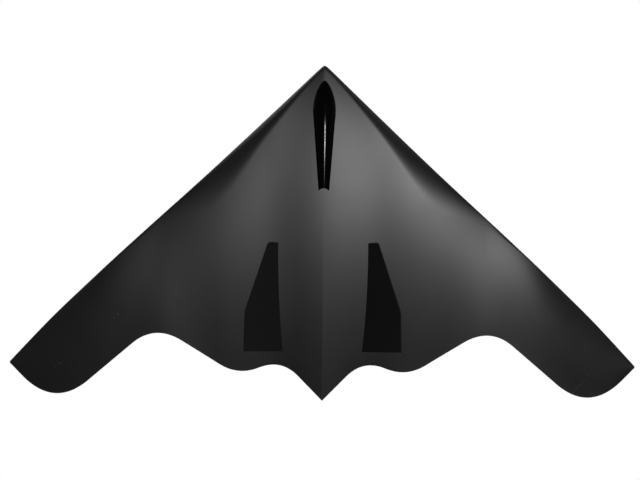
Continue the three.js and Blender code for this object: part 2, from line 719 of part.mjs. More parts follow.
const DECK = { x: 135, front: 198, back: 88, low: 16, high: 19 };
const BATTERY = { x0: -17, x1: 17, y0: 95, y1: 199, low: -12.5, high: 15.5 };
const STRAP = { y0: 138, y1: 158, thick: 1.2 };
const strapHole = (x) =>
  solid(box(x - 1.6, x + 1.6, STRAP.y0 - 0.5, STRAP.y1 + 0.5, DECK.low - 1, DECK.high + 1));
const deck = cut(
  common(solid(box(-DECK.x, DECK.x, DECK.back, DECK.front, DECK.low, DECK.high)), fittedHollow),
  strapHole(19.2),
  strapHole(-19.2),
);
addPiece("equipment_deck", mainBody(deck), PLY);
const deckClear = solid(
  box(-DECK.x, DECK.x, DECK.back - 1, DECK.front + 1, DECK.low - FIT, DECK.high + FIT),
);
const socket = cut(sparRod(6, 95, 128), sparClear, deckClear);
addPair("spar_socket", mainBody(socket), NYLON);

// Plywood ribs across the body ahead of the hatch and behind the equipment bay.
function former(y) {
  const plate = common(solid(box(-CAVITY_X, CAVITY_X, y - 1.5, y + 1.5, -60, 60)), fittedHollow);
  const hole = solid(box(-22, 22, y - 2, y + 2, -11, 13));
  return cut(plate, hole);
}
addPiece("front_former", cut(former(213), canopyOpening, canopySeat), PLY);
const cableSlot = solid(box(-49, 70, 70, 78, 17, 33));
const inletClear = inletLoft(WALL_AND_FIT, 0);
addPiece("middle_former", cut(former(74), inletClear, withMirror(sparClear), cableSlot), PLY);

addPiece("battery_pack", block(BATTERY), finish(COLOURS.cell, 0.45));
const strapLoop = (grow) =>
  solid(
    box(
      -18.4 - grow,
      18.4 + grow,
      STRAP.y0 - (grow ? 0 : 1),
      STRAP.y1 + (grow ? 0 : 1),
      BATTERY.low - 0.3 - grow,
      DECK.high + 0.3 + grow,
    ),
  );
addPiece("battery_strap", cut(strapLoop(STRAP.thick), strapLoop(0)), finish(COLOURS.strap, 0.8));

const ESC = { x0: -52, x1: -26, y0: 104, y1: 134, low: DECK.high + FIT, high: DECK.high + 10 };
const escFins = steps(0, 1, 5).map((t) => {
  const x = lerp(ESC.x0 + 3, ESC.x1 - 4.5, t);
  return solid(box(x, x + 1.5, ESC.y0 + 3, ESC.y1 - 3, ESC.high - 0.5, ESC.high + 2.5));
});
addPiece(
  "speed_controller",
  join(block(ESC), ...escFins),
  finish(COLOURS.aluminium, 0.4, 1),
);
const RECEIVER = { x0: 26, x1: 48, y0: 108, y1: 146, low: DECK.high + FIT, high: DECK.high + 11 };
const receiverPins = steps(0, 1, 5).map((t) => {
  const x = lerp(RECEIVER.x0 + 3, RECEIVER.x1 - 3, t);
  return solid(box(x - 0.6, x + 0.6, RECEIVER.y1 - 1, RECEIVER.y1 + 4, RECEIVER.low + 4, RECEIVER.low + 6));
});
addPiece(
  "radio_receiver",
  join(block(RECEIVER), ...receiverPins),
  BLACK,
);

// A cable of round section through a few points.
function cable(points, radius) {
  const section = new THREE.Shape().absarc(0, 0, radius, 0, 2 * Math.PI);
  const path = new THREE.CatmullRomCurve3(points, false, "centripetal");
  const options = { extrudePath: path, steps: 12, curveSegments: 3, bevelEnabled: false };
  return solid(new THREE.ExtrudeGeometry(section, options));
}
const escRear = (x) => point(x, ESC.y0 - 1.4, DECK.high + 5);
const batteryLeadPath = [
  point(-8, BATTERY.y0 - 1.2, 6),
  point(-9, 84.5, 7),
  point(-14, 80.5, 18),
  point(-24, 84, 25),
  escRear(-32),
];
addPiece("battery_lead", cable(batteryLeadPath, 2), finish(COLOURS.red, 0.5));
const motorLeadPath = [
  escRear(-45),
  point(-45, 92, 24),
  point(-45, 60, 23),
  point(-42, 16, 18),
  point(-34, -20, 8),
  point(-FAN_R - DUCT_WALL - 2, -44, FAN_Z), // against the side of the shroud
];
addPiece("motor_lead", cable(motorLeadPath, 1.6), BLACK);
const antennaPath = [
  point(44, RECEIVER.y0 - 0.8, 24),
  point(48, 94, 24),
  point(66, 70, 20),
  point(96, 50, 16),
];
addPiece("receiver_antenna", cable(antennaPath, 0.8), BLACK);

// ---------------------------------------------------------------- skids
// A blade with a flat sole and sloping ends, standing on the ground below the belly at x, y.
function skid(x, y) {
  const sole = -WATERLINE;
  const side = shapeFrom([
    [y - 11, sole],
    [y + 9, sole],
    [y + 15, sole + 6],
    [y + 20, 0],
    [y - 20, 0],
  ]);
  return mainBody(cut(solid(plateAcrossX(side, x - 4, x + 4)), grownEnvelope));
}
addPiece("front_skid", skid(0, 232), NYLON);
addPair("rear_skid", skid(100, -120), NYLON);

// ---------------------------------------------------------------- centre shells
const pipeClear = pipeLoft(WALL_AND_FIT);
const upperShell = cut(
  upperHalf,
  upperCavity,
  canopySeat,
  canopyOpening,
  withMirror(finGroove),
  withMirror(sparClear),
  pipeClear,
);
const lowerShell = cut(
  lowerSkin,
  hatchOpening,
  hatchPinBore,
  inletClear,
  withMirror(sparClear),
  pipeClear,
);
addPiece("centre_upper_shell", mainBody(upperShell), FOAM);
addPiece("centre_lower_shell", mainBody(lowerShell), FOAM);

// ---------------------------------------------------------------- elevon hinge
const bayCorner = TRAILING_CORNERS[3];
const lobeCorner = TRAILING_CORNERS[4];
const edgeRun = new THREE.Vector2(lobeCorner.x - bayCorner.x, lobeCorner.y - bayCorner.y).normalize();

// A point on the hinge line above a place along the trailing edge.
function hingePoint(along) {
  const x = bayCorner.x + edgeRun.x * along - edgeRun.y * ELEVON_CHORD;
  const y = bayCorner.y + edgeRun.y * along + edgeRun.x * ELEVON_CHORD;
  return point(x, y, midHeight(x) + HINGE_LIFT);
}
const hingeStart = hingePoint(ELEVON_START);
const hingeEnd = hingePoint(ELEVON_END);
const hingeDirection = hingeEnd.clone().sub(hingeStart).normalize();
const HINGE_LENGTH = hingeEnd.distanceTo(hingeStart);
const hingeForward = new THREE.Vector3().crossVectors(Z_AXIS, hingeDirection).normalize();
const hingeUp = new THREE.Vector3().crossVectors(hingeDirection, hingeForward);
const hingeFrame = new THREE.Matrix4().makeBasis(hingeDirection, hingeForward, hingeUp);
hingeFrame.setPosition(hingeStart);
const atHinge = (geometry) => solid(placed(geometry, hingeFrame));

const wingPanel = solid(
  sheetGeometry(sheet(panelXs, chordShares, upperHeight), sheet(panelXs, chordShares, lowerHeight)),
);
const elevonZone = (radius, endGap) =>
  join(
    atHinge(box(-endGap, HINGE_LENGTH + endGap, -90, 0, -40, 40)),
    atHinge(rodX(radius, -endGap, HINGE_LENGTH + endGap, 40)),
  );
const hingeRod = (radius, overhang) => atHinge(rodX(radius, -overhang, HINGE_LENGTH + overhang));

// ---------------------------------------------------------------- elevon linkage
const armX = STATION; // inboard face of horn and servo arm
const rodLineX = armX + PLATE + 1.3;
const hornHole = point(0, 0, -HORN_REACH);
const servoAxis = point(0, SERVO_FORWARD, SERVO_DROP);
const armHole = point(0, SERVO_FORWARD, SERVO_DROP - HORN_REACH);
const rodAcross = (radius, x0, x1, at) => rodX(radius, x0, x1, 12).translate(0, at.y, at.z);

// A lever plate: round boss at one hole, tapering to a small round end at the other.
function leverShape(big, bigRadius, small, smallRadius) {
  const toward = Math.atan2(small.z - big.z, small.y - big.y);
  const shape = new THREE.Shape();
  shape.absarc(big.y, big.z, bigRadius, toward + Math.PI / 2, toward - Math.PI / 2 + 2 * Math.PI);
  shape.absarc(small.y, small.z, smallRadius, toward - Math.PI / 2, toward + Math.PI / 2);
  return shape;
}

function servoArm() {
  const plate = plateAcrossX(leverShape(servoAxis, 3.2, armHole, 2.1), armX, armX + PLATE);
  const hub = rodAcross(3.2, armX, armX + 3, servoAxis);
  return cut(
    join(atHinge(plate), atHinge(hub)),
    atHinge(rodAcross(LINK_R + RUNNING_FIT, armX - 1, armX + 4, armHole)),
  );
}

function controlHorn(grow) {
  const outline = shapeFrom([
    [-15 - grow, -4 + grow],
    [2 + grow, -4 + grow],
    [2 + grow, -8],
    [2.1, -HORN_REACH],
    [0, -HORN_REACH - 2.1],
    [-2.1, -HORN_REACH],
    [-15 - grow, -8],
  ]);
  return atHinge(plateAcrossX(outline, armX - grow, armX + PLATE + grow));
}

function pushrod() {
  const elbow = (at) => atHinge(new THREE.SphereGeometry(LINK_R, 10, 6).translate(rodLineX, at.y, at.z));
  const rod = rodBetween(
    point(rodLineX, hornHole.y, hornHole.z),
    point(rodLineX, armHole.y, armHole.z),
    LINK_R,
    12,
  );
  return join(
    atHinge(rod),
    atHinge(rodAcross(LINK_R, armX - 0.8, rodLineX, hornHole)),
    atHinge(rodAcross(LINK_R, armX - 0.8, rodLineX, armHole)),
    elbow(hornHole),
    elbow(armHole),
  );
}

const SERVO_LUG = 4; // how far the mounting lugs stand out fore and aft
const SERVO = { x0: STATION - 27, x1: STATION - 2.5, y0: 32, y1: 55, low: -14, high: -2 };
function servo() {
  const body = box(SERVO.x0, SERVO.x1, SERVO.y0, SERVO.y1, SERVO.low, SERVO.high);
  const [lugBack, lugFront] = [SERVO.y0 - SERVO_LUG, SERVO.y1 + SERVO_LUG];
  const lugs = box(SERVO.x1 - 8, SERVO.x1 - 6, lugBack, lugFront, SERVO.low, SERVO.high);
  const tower = rodAcross(5, SERVO.x1 - 0.5, SERVO.x1 + 1, servoAxis);
  const spline = rodAcross(2.3, SERVO.x1, armX - 0.2, servoAxis);
  return join(atHinge(body), atHinge(lugs), atHinge(tower), atHinge(spline));
}
const servoPocket = join(
  atHinge(
    box(
      SERVO.x0 - FIT,
      SERVO.x1 + 0.5,
      SERVO.y0 - SERVO_LUG - FIT,
      SERVO.y1 + SERVO_LUG + FIT,
      -40,
      SERVO.high + FIT,
    ),
  ),
  atHinge(box(SERVO.x1, armX + 6, SERVO_FORWARD - 11, SERVO_FORWARD + 11, -40, SERVO.high + FIT)),
);
// Lets the horn swing forward through the panel's lower lip.
const hornSlot = atHinge(box(armX - 0.6, armX + PLATE + 0.6, -1, 14, -40, -6));
const servoCover = common(
  atHinge(box(SERVO.x0, SERVO.x1 - 0.5, SERVO.y0 - SERVO_LUG, SERVO.y1 + SERVO_LUG, -40, SERVO.low - FIT)),
  wingPanel,
);

const elevon = cut(
  common(wingPanel, elevonZone(ELEVON_NOSE_R, 0)),
  hingeRod(HINGE_ROD_R + RUNNING_FIT, 1),
  controlHorn(FIT),
);
const panel = cut(
  wingPanel,
  elevonZone(ELEVON_NOSE_R + 0.6, ELEVON_GAP),
  hingeRod(HINGE_ROD_R + FIT, 7.5),
  servoPocket,
  hornSlot,
  sparClear,
);
addPair("wing_panel", mainBody(panel), FOAM);
addPair("elevon", mainBody(elevon), FOAM);
addPair("hinge_rod", hingeRod(HINGE_ROD_R, 7), STEEL);
addPair("servo", servo(), finish(COLOURS.servo, 0.4));
addPair("servo_cover", mainBody(servoCover), finish(COLOURS.skin, 0.45));
addPair("servo_arm", servoArm(), NYLON);
addPair("pushrod", pushrod(), STEEL);
addPair(
  "control_horn",
  cut(controlHorn(0), atHinge(rodAcross(LINK_R + RUNNING_FIT, armX - 1, armX + 4, hornHole))),
  NYLON,
);

export default wing;
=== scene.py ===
import json
import math

import bmesh
import bpy
import numpy as np
from mathutils import Matrix, Vector


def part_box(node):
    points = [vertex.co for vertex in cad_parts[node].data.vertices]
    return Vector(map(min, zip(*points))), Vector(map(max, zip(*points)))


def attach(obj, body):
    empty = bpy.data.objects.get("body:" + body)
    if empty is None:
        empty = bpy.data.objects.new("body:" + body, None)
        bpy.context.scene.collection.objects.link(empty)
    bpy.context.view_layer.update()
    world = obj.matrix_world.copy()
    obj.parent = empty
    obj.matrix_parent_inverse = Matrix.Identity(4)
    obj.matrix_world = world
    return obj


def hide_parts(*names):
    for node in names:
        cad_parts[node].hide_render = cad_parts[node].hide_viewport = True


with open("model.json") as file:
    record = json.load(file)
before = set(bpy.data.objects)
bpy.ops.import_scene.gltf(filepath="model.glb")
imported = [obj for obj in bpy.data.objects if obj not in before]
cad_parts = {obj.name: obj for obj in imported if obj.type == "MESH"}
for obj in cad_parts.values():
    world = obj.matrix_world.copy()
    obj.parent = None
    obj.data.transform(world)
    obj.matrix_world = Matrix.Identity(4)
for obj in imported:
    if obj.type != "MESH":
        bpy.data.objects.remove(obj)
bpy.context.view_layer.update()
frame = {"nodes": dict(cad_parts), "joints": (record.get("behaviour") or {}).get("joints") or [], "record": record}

# ---------------------------------------------------------------- dimensions taken from the frame
MM = 0.001
SIDES = ("right", "left")
_, body_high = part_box("centre_upper_shell")
_, panel_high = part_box("right_wing_panel")
canopy_low, canopy_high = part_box("canopy_hatch")
hatch_low, hatch_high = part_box("belly_hatch")
shroud_low, shroud_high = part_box("fan_shroud")
deck_low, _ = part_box("equipment_deck")
DECK_LIFT = 16 * MM  # equipment deck above the chord plane
CHORD_PLANE = deck_low.z - DECK_LIFT
JOINT_X = body_high.x
HALF_SPAN = panel_high.x
FAN_Z = (shroud_low.z + shroud_high.z) / 2
joints = {joint["name"]: joint for joint in frame["joints"]}

# ---------------------------------------------------------------- outline and section law
NOSE_APEX_Y = 320.7 * MM
NOSE_ROUND = 3.1 * MM
SWEEP = 0.96
SWEEP_CHANGES = ((280 * MM, -0.06), (513 * MM, 0.14))  # span place and change
SWEEP_EASE = 30 * MM
TRAILING_CORNERS = np.array([  # x, y and rounding length of each corner
    (0, -316, 0),  # pointed tail
    (79, -235.5, 48),  # bay beside the tail
    (157, -270.5, 45),  # body lobe
    (312, -170.5, 58),  # bay between body and outer wing
    (510, -337, 89),  # outer wing lobe
    (602, -251.2, 0),  # where leading and trailing edge would meet
]) * MM

# Wing sections at equal spanwise steps from the centreline to the tip: the rise of the mid line above
# the chord plane, the brow's height and reach behind the leading edge, the height and tail exponent of
# the crown over the whole chord, and the depth of the belly.
SECTION_STEP = 100 * MM
RISE = np.array([0, 1.5, 9, 23.5, 13.5, -9, -27]) * MM
BROW = np.array([20, 28, 23, 1, 8, 0, 0]) * MM
BROW_WIDTH = np.array([10, 36, 77, 20, 4, 34, 40]) * MM
CROWN = np.array([22.3, 9, 4, 6.3, 4.5, 10, 2]) * MM
CROWN_TAIL = np.array([1.1, 0.9, 1.4, 0.95, 1.4, 1.4, 0.8])
BELLY = np.array([30, 25, 20, 15, 13, 9.5, 3]) * MM
BROW_LIMIT = 0.9  # most of the chord that the brow's front may take up near the tip
CROWN_NOSE = 0.85  # fullness exponents that hold over the whole span
BELLY_NOSE = 0.62
BELLY_TAIL = 0.85
EDGE = 0.9 * MM  # half thickness of the outline's edge
SKIN = 3 * MM
CAVITY_X = 170 * MM
CAVITY_SHARES = (0.07, 0.86)  # hollow part of each chord


def leading_edge(x):
    y = NOSE_APEX_Y - SWEEP * np.hypot(x, NOSE_ROUND)
    for place, change in SWEEP_CHANGES:
        past = np.abs(x) - place
        y = y - change * (past + np.hypot(past, SWEEP_EASE)) / 2
    return y


def trailing_outline(points_per_corner=24):
    """The trailing edge of the right half: straight runs with each corner rounded by a quadratic curve."""
    corners = TRAILING_CORNERS[:, :2]
    cuts = TRAILING_CORNERS[1:, 2]
    outline = [corners[0]]
    for before, corner, after, cut in zip(corners, corners[1:], corners[2:], cuts):
        start = corner + cut * (before - corner) / np.linalg.norm(before - corner)
        end = corner + cut * (after - corner) / np.linalg.norm(after - corner)
        for t in np.linspace(0, 1, points_per_corner):
            outline.append((1 - t) ** 2 * start + 2 * t * (1 - t) * corner + t * t * end)
    outline.append(corners[-1])
    return np.array(outline)


TRAILING = trailing_outline()


def trailing_edge(x):
    return np.interp(np.abs(x), TRAILING[:, 0], TRAILING[:, 1])


def section_value(values, x):
    """Smooth value of a section property at a spanwise place, level at the centreline."""
    last = len(values) - 1
    slopes = np.gradient(values)
    slopes[0] = 0
    place = np.minimum(np.abs(x) / SECTION_STEP, last)
    i = np.minimum(np.floor(place).astype(int), last - 1)
    t = place - i
    ends = (2 * t**3 - 3 * t**2 + 1) * values[i] + (3 * t**2 - 2 * t**3) * values[i + 1]
    return ends + (t**3 - 2 * t**2 + t) * slopes[i] + (t**3 - t**2) * slopes[i + 1]


def chord(x):
    return leading_edge(x) - trailing_edge(x)


def chord_share(x, y):
    return np.clip((leading_edge(x) - y) / chord(x), 0, 1)


def arch(share, nose, tail):
    """An arch over the chord, 1 at its highest. Smaller exponents make a blunter nose or tail."""
    peak = nose / (nose + tail)
    return share**nose * (1 - share) ** tail / (peak**nose * (1 - peak) ** tail)


def brow(x, share):
    """The steep brow behind the leading edge: a quarter ellipse up to its shoulder, then a parabola aft."""
    shoulder = np.minimum(section_value(BROW_WIDTH, x) / chord(x), BROW_LIMIT)
    climb = np.minimum(share / shoulder, 1)
    fall = np.maximum((share - shoulder) / (1 - shoulder), 0)
    return np.sqrt(1 - (1 - climb) ** 2) * (1 - fall**2)


def mid_height(x):
    return CHORD_PLANE + section_value(RISE, x)


def upper_height(x, y):
    share = chord_share(x, y)
    crown = arch(share, CROWN_NOSE, section_value(CROWN_TAIL, x))
    return mid_height(x) + EDGE + section_value(BROW, x) * brow(x, share) + section_value(CROWN, x) * crown


def lower_height(x, y):
    return mid_height(x) - EDGE - section_value(BELLY, x) * arch(chord_share(x, y), BELLY_NOSE, BELLY_TAIL)


# ---------------------------------------------------------------- meshes
def add_mesh(name, points, faces):
    mesh = bpy.data.meshes.new(name)
    mesh.from_pydata([tuple(p) for p in points], [], faces)
    mesh.validate()
    made = bpy.data.objects.new(name, mesh)
    bpy.context.scene.collection.objects.link(made)
    return made


def sheet_faces(rows, columns, upper_at, lower_at):
    """Faces of a solid between two equal grids, rows outboard and columns aft."""
    faces = []
    end, last = rows - 1, columns - 1
    for i in range(end):
        for j in range(last):
            faces.append((upper_at(i, j), upper_at(i, j + 1), upper_at(i + 1, j + 1), upper_at(i + 1, j)))
            faces.append((lower_at(i, j), lower_at(i + 1, j), lower_at(i + 1, j + 1), lower_at(i, j + 1)))
        faces.append((upper_at(i, 0), upper_at(i + 1, 0), lower_at(i + 1, 0), lower_at(i, 0)))
        faces.append((upper_at(i, last), lower_at(i, last), lower_at(i + 1, last), upper_at(i + 1, last)))
    for j in range(last):
        faces.append((upper_at(0, j), lower_at(0, j), lower_at(0, j + 1), upper_at(0, j + 1)))
        faces.append((upper_at(end, j), upper_at(end, j + 1), lower_at(end, j + 1), lower_at(end, j)))
    return faces


def grid_solid(name, upper, lower):
    """A closed solid between two grids of points given as arrays of rows by columns by 3."""
    rows, columns = upper.shape[:2]
    points = np.concatenate([upper.reshape(-1, 3), lower.reshape(-1, 3)])
    offset = rows * columns
    faces = sheet_faces(rows, columns, lambda i, j: i * columns + j, lambda i, j: offset + i * columns + j)
    return add_mesh(name, points, faces)


def plan_grid(xs, shares, height):
    """Points at spanwise places and shares of the chord, at the height a function gives."""
    x, share = np.meshgrid(xs, shares, indexing="ij")
    y = leading_edge(x) + (trailing_edge(x) - leading_edge(x)) * share
    return np.stack([x, y, height(x, y)], axis=-1)


def cosine_shares(count):
    """Shares of the chord that crowd together towards both edges."""
    return (1 - np.cos(np.linspace(0, np.pi, count))) / 2


def box_solid(name, low, high, matrix=Matrix()):
    made = bmesh.new()
    bmesh.ops.create_cube(made, size=1)
    size = Vector(high) - Vector(low)
    centre = (Vector(high) + Vector(low)) / 2
    made.transform(matrix @ Matrix.Translation(centre) @ Matrix.Diagonal(size.to_4d()))
    return link_bmesh(name, made)


def rod_solid(name, radius, x0, x1, segments=48, matrix=Matrix()):
    """A round rod along the local X axis."""
    made = bmesh.new()
    bmesh.ops.create_cone(
        made, cap_ends=True, segments=segments, radius1=radius, radius2=radius, depth=x1 - x0
    )
    lay_down = Matrix.Rotation(math.pi / 2, 4, "Y")
    made.transform(matrix @ Matrix.Translation(((x0 + x1) / 2, 0, 0)) @ lay_down)
    return link_bmesh(name, made)


def link_bmesh(name, made):
    mesh = bpy.data.meshes.new(name)
    bmesh.ops.recalc_face_normals(made, faces=made.faces)
    if made.calc_volume(signed=True) < 0:
        bmesh.ops.reverse_faces(made, faces=made.faces)
    made.to_mesh(mesh)
    made.free()
    linked = bpy.data.objects.new(name, mesh)
    bpy.context.scene.collection.objects.link(linked)
    return linked


def apply_modifiers(target):
    bpy.context.view_layer.update()
    evaluated = target.evaluated_get(bpy.context.evaluated_depsgraph_get())
    mesh = bpy.data.meshes.new_from_object(evaluated)
    target.modifiers.clear()
    target.data = mesh


def remove(unwanted):
    bpy.data.objects.remove(unwanted)


def copy_of(source, name):
    copied = source.copy()
    copied.data = source.data.copy()
    copied.name = name
    bpy.context.scene.collection.objects.link(copied)
    return copied


def combine(target, tool, operation, keep_tool=False):
    change = target.modifiers.new(operation, "BOOLEAN")
    change.solver = "MANIFOLD"
    change.operation = operation
    change.object = tool
    apply_modifiers(target)
    if not keep_tool:
        remove(tool)
    return target


def mirrored(source, name):
    copied = copy_of(source, name)
    copied.data.transform(Matrix.Diagonal((-1, 1, 1, 1)))
    copied.data.flip_normals()
    return copied


def smooth(target, degrees=30):
    target.data.shade_smooth()
    target.data.set_sharp_from_angle(angle=math.radians(degrees))


# ---------------------------------------------------------------- materials
def new_material(name):
    material = bpy.data.materials.new(name)
    material.use_nodes = True
    nodes = material.node_tree.nodes
    return material, nodes, material.node_tree.links, nodes["Principled BSDF"]


def texture_place(nodes, links, stretch=(1, 1, 1)):
    """Object coordinates, stretched, as the place where a pattern is read."""
    where = nodes.new("ShaderNodeTexCoord")
    mapping = nodes.new("ShaderNodeMapping")
    mapping.inputs["Scale"].default_value = stretch
    links.new(where.outputs["Object"], mapping.inputs["Vector"])
    return mapping.outputs["Vector"]


def noise(nodes, links, place, scale, detail=4, roughness=0.5):
    made = nodes.new("ShaderNodeTexNoise")
    made.inputs["Scale"].default_value = scale
    made.inputs["Detail"].default_value = detail
    made.inputs["Roughness"].default_value = roughness
    links.new(place, made.inputs["Vector"])
    return made.outputs["Fac"]


def ramp_between(nodes, links, factor, low, high, start=0.3, end=0.7):
    """A colour that runs from low to high as the factor runs from start to end."""
    made = nodes.new("ShaderNodeValToRGB")
    made.color_ramp.elements[0].position = start
    made.color_ramp.elements[0].color = (*low, 1)
    made.color_ramp.elements[1].position = end
    made.color_ramp.elements[1].color = (*high, 1)
    links.new(factor, made.inputs["Fac"])
    return made.outputs["Color"]


def value_between(nodes, links, factor, low, high, start=0.25, end=0.75):
    """A value that runs from low to high as the factor runs from start to end."""
    made = nodes.new("ShaderNodeMapRange")
    made.inputs["From Min"].default_value = start
    made.inputs["From Max"].default_value = end
    made.inputs["To Min"].default_value = low
    made.inputs["To Max"].default_value = high
    links.new(factor, made.inputs["Value"])
    return made.outputs["Result"]


def add_bump(nodes, links, principled, factor, depth, strength=1.0):
    """Relief of a given depth that follows a factor."""
    made = nodes.new("ShaderNodeBump")
    made.inputs["Distance"].default_value = depth
    made.inputs["Strength"].default_value = strength
    links.new(factor, made.inputs["Height"])
    links.new(made.outputs["Normal"], principled.inputs["Normal"])


def mottled(name, low, high, rough, scale, bump=0.0, metallic=0.0, stretch=(1, 1, 1), specular=0.5):
    """The base of most finishes: colour, roughness and relief that vary over one noise pattern."""
    material, nodes, links, principled = new_material(name)
    place = texture_place(nodes, links, stretch)
    grain = noise(nodes, links, place, scale)
    links.new(ramp_between(nodes, links, grain, low, high), principled.inputs["Base Color"])
    links.new(value_between(nodes, links, grain, *rough), principled.inputs["Roughness"])
    principled.inputs["Metallic"].default_value = metallic
    principled.inputs["Specular IOR Level"].default_value = specular
    if bump:
        add_bump(nodes, links, principled, grain, bump)
    return material


def foam_paint():
    """Satin charcoal paint over moulded foam: a soft orange peel and slow changes of sheen."""
    material, nodes, links, principled = new_material("foam_paint")
    place = texture_place(nodes, links)
    cloudy = noise(nodes, links, place, 9, detail=3)
    peel = noise(nodes, links, place, 420, detail=2)
    colour = ramp_between(nodes, links, cloudy, (0.006, 0.006, 0.0065), (0.008, 0.008, 0.0085))
    links.new(colour, principled.inputs["Base Color"])
    links.new(value_between(nodes, links, cloudy, 0.43, 0.455), principled.inputs["Roughness"])
    add_bump(nodes, links, principled, peel, 0.015 * MM, 0.5)
    return material


def grey(level):
    return (level, level, level)


def canopy_gloss():
    return mottled("canopy_gloss", grey(0.0003), grey(0.0006), (0.15, 0.2), 60, specular=0.15)


def fin_plate():
    return mottled("fin_plate", grey(0.0015), grey(0.0025), (0.7, 0.8), 300, 0.03 * MM, specular=0.3)


def plywood():
    material, nodes, links, principled = new_material("plywood")
    place = texture_place(nodes, links, (1, 0.06, 1))
    grain = noise(nodes, links, place, 260, detail=6, roughness=0.65)
    colour = ramp_between(nodes, links, grain, (0.36, 0.2, 0.09), (0.62, 0.42, 0.22), 0.3, 0.65)
    links.new(colour, principled.inputs["Base Color"])
    principled.inputs["Roughness"].default_value = 0.72
    add_bump(nodes, links, principled, grain, 0.08 * MM, 0.6)
    return material


def carbon_tube():
    material, nodes, links, principled = new_material("carbon_tube")
    place = texture_place(nodes, links, (0.1, 0.1, 1))
    strands = noise(nodes, links, place, 900, detail=2)
    colour = ramp_between(nodes, links, strands, (0.006, 0.006, 0.007), (0.03, 0.031, 0.033))
    links.new(colour, principled.inputs["Base Color"])
    principled.inputs["Roughness"].default_value = 0.32
    return material


def nylon():
    return mottled("nylon", (0.02, 0.02, 0.021), (0.032, 0.032, 0.033), (0.45, 0.55), 250, 0.03 * MM)


def steel_wire():
    return mottled("steel_wire", (0.42, 0.43, 0.45), (0.6, 0.61, 0.63), (0.22, 0.38), 700, metallic=1.0)


def duct_plastic():
    return mottled("duct_plastic", (0.008, 0.008, 0.009), (0.016, 0.016, 0.017), (0.35, 0.5), 120, 0.03 * MM)


def rotor_plastic():
    return mottled("rotor_plastic", (0.03, 0.032, 0.036), (0.05, 0.053, 0.058), (0.35, 0.45), 400, 0.02 * MM)


def aluminium_turned():
    turned = {"metallic": 1.0, "stretch": (1, 0.05, 1)}
    return mottled("aluminium_turned", (0.55, 0.56, 0.58), (0.7, 0.71, 0.73), (0.2, 0.34), 500, **turned)


def battery_wrap():
    return mottled("battery_wrap", (0.02, 0.05, 0.12), (0.03, 0.075, 0.17), (0.2, 0.32), 45, 0.2 * MM)


def strap_webbing():
    material, nodes, links, principled = new_material("strap_webbing")
    weave = nodes.new("ShaderNodeTexWave")
    weave.inputs["Scale"].default_value = 420
    weave.inputs["Distortion"].default_value = 1.5
    links.new(texture_place(nodes, links), weave.inputs["Vector"])
    colour = ramp_between(nodes, links, weave.outputs["Fac"], (0.008, 0.008, 0.009), (0.035, 0.035, 0.038))
    links.new(colour, principled.inputs["Base Color"])
    principled.inputs["Roughness"].default_value = 0.85
    add_bump(nodes, links, principled, weave.outputs["Fac"], 0.2 * MM)
    return material


def servo_case():
    return mottled("servo_case", (0.012, 0.03, 0.09), (0.018, 0.045, 0.13), (0.22, 0.35), 90)


def receiver_case():
    return mottled("receiver_case", (0.012, 0.012, 0.013), (0.02, 0.02, 0.022), (0.4, 0.55), 350, 0.03 * MM)


def cable_red():
    return mottled("cable_red", (0.3, 0.012, 0.01), (0.42, 0.02, 0.016), (0.4, 0.55), 200)


def cable_black():
    return mottled("cable_black", (0.01, 0.01, 0.011), (0.02, 0.02, 0.021), (0.4, 0.55), 200)


MAKERS = {
    "painted_foam": foam_paint,
    "canopy_gloss": canopy_gloss,
    "fin_plate": fin_plate,
    "plywood": plywood,
    "carbon_tube": carbon_tube,
    "nylon": nylon,
    "steel_wire": steel_wire,
    "duct_plastic": duct_plastic,
    "rotor_plastic": rotor_plastic,
    "aluminium_turned": aluminium_turned,
    "battery_wrap": battery_wrap,
    "strap_webbing": strap_webbing,
    "servo_case": servo_case,
    "receiver_case": receiver_case,
    "cable_red": cable_red,
    "cable_black": cable_black,
}
materials = {slot: make() for slot, make in MAKERS.items()}
slot_of = {part["node"]: part["material_slot"] for part in frame["record"]["subparts"]}
body_of = {node: body for body, nodes in frame["record"]["behaviour"]["bodies"].items() for node in nodes}


def paint(target, slot):
    target.data.materials.clear()
    target.data.materials.append(materials[slot])


def stands_for(target, node):
    """Puts a finished new piece on the body of the CAD node it shows, in that node's finish."""
    paint(target, slot_of[node])
    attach(target, body_of[node])
    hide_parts(node)


# ---------------------------------------------------------------- airframe solids
SEAM = 0.03 * MM  # between the body and a wing panel
SPLIT = 0.04 * MM  # half the seam between the upper and the lower skin
OVERRUN = 4 * MM  # how far a cutter reaches past the skin it opens
GAP = 0.25 * MM  # round the canopy and the belly hatch
SEAT = 1.5 * MM  # depth of the canopy's seat in the skin
LIP = 4 * MM  # width of that seat
CANOPY_WIDEST_Y = 227 * MM
CANOPY_HALF_WIDTH = 21.2 * MM
CANOPY_BACK_HALF_WIDTH = 10 * MM
CANOPY_HEIGHT = 13 * MM
CANOPY_LEAST_HALF_WIDTH = 0.6 * MM
CANOPY_APEX_Y = canopy_high.y + 1 * MM  # where the rounded nose would come to nothing
CANOPY_NOSE_FULLNESS = 0.7
FAN_R = 26 * MM
DUCT_HOLE = 1.6 * MM  # wall of the ducts, and the room round them
INLET_HALF_WIDTH = 27 * MM
INLET_FRONT = 66 * MM
INLET_BACK = 14 * MM
HATCH_NOSE_R = 2.2 * MM  # rounded front edge of the belly hatch, about its pin
PIN_HOLE_R = 0.95 * MM

body_xs = np.linspace(-JOINT_X, JOINT_X, 153)
panel_xs = np.linspace(JOINT_X + SEAM, HALF_SPAN, 170)
chord_shares = cosine_shares(96)
cavity_xs = np.linspace(-CAVITY_X, CAVITY_X, 61)
cavity_shares = np.linspace(*CAVITY_SHARES, 41)


